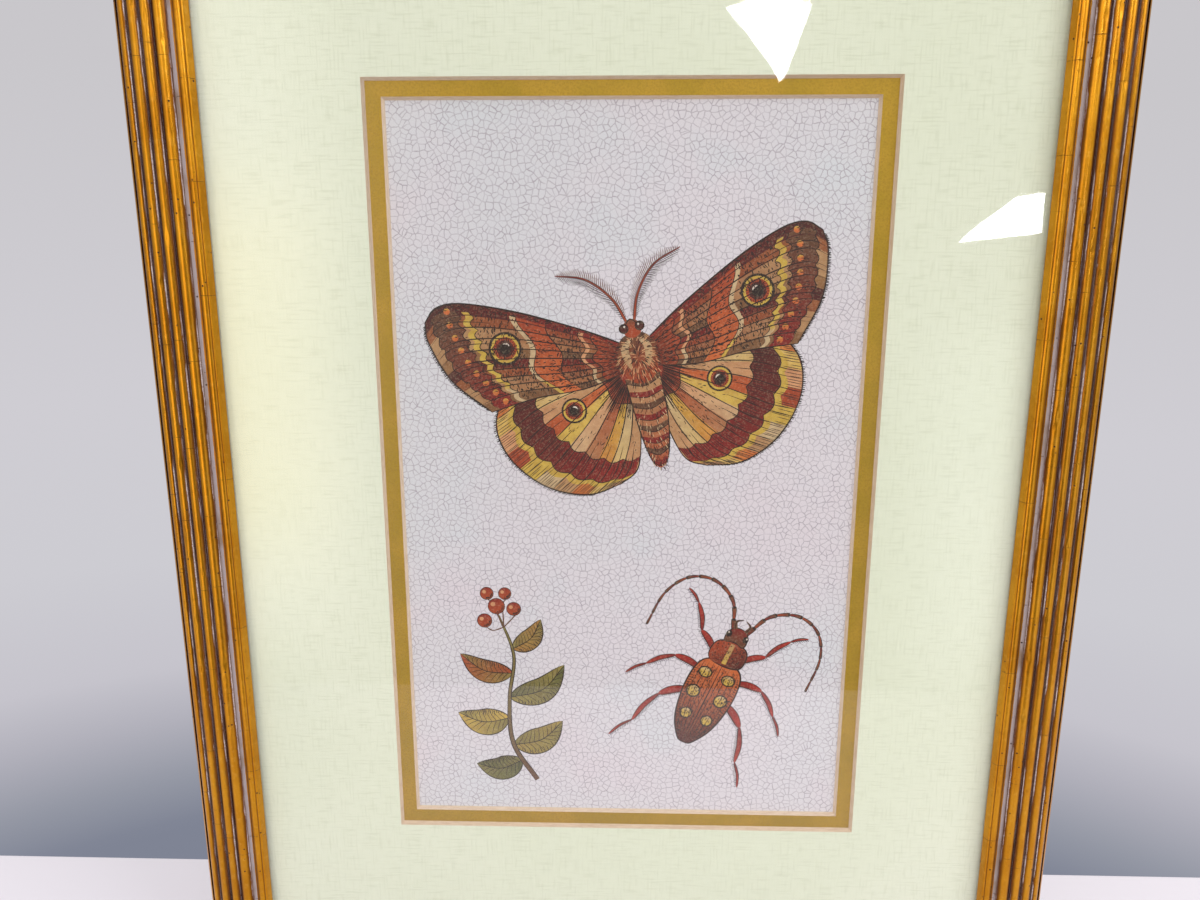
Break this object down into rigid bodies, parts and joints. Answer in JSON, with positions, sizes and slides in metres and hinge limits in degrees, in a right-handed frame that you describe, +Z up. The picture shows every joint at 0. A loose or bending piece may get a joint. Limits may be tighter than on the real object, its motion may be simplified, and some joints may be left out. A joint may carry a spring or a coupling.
{
  "type": "framed print",
  "caption": "Upright framed insect print for a wall: reeded gilt wood moulding, glass, a linen window mat over a gold one, and a crackle-ground paper plate.",
  "frame": {"origin": "the middle notch of the hanger on the back of the top rail, on the plane of the wall", "axes": "+Z up along the picture's height, +X to the right as seen from the front, -Y out of the picture's front"},
  "size_m": [0.3468, 0.0226, 0.4484],
  "materials": {
    "gilt_wood": "warm gold leaf over brown bole, rubbed, with dark grooves",
    "glass": "clear polished picture glass",
    "linen_mat": "pale green-cream linen weave, bevelled window",
    "gold_mat": "satin gold foil paper, bevelled window",
    "print_paper": "pale paper with a fine printed crackle",
    "backing_card": "brown backing card",
    "steel": "bright zinc-plated steel",
    "brass": "brass-plated strip",
    "felt": "dark felt"
  },
  "bodies": {
    "root": {"rail_left": "gilt_wood", "rail_right": "gilt_wood", "rail_top": "gilt_wood", "rail_bottom": "gilt_wood", "glass": "glass", "outer_mat": "linen_mat", "inner_mat": "gold_mat", "print_sheet": "print_paper", "backing_board": "backing_card", "point_left_1": "steel", "point_left_2": "steel", "point_left_3": "steel", "point_right_1": "steel", "point_right_2": "steel", "point_right_3": "steel", "point_top_1": "steel", "point_top_2": "steel", "point_bottom_1": "steel", "point_bottom_2": "steel", "hanger": "brass", "hanger_nail_left": "steel", "hanger_nail_right": "steel", "bumper_left": "felt", "bumper_right": "felt"}
  },
  "joints": []
}
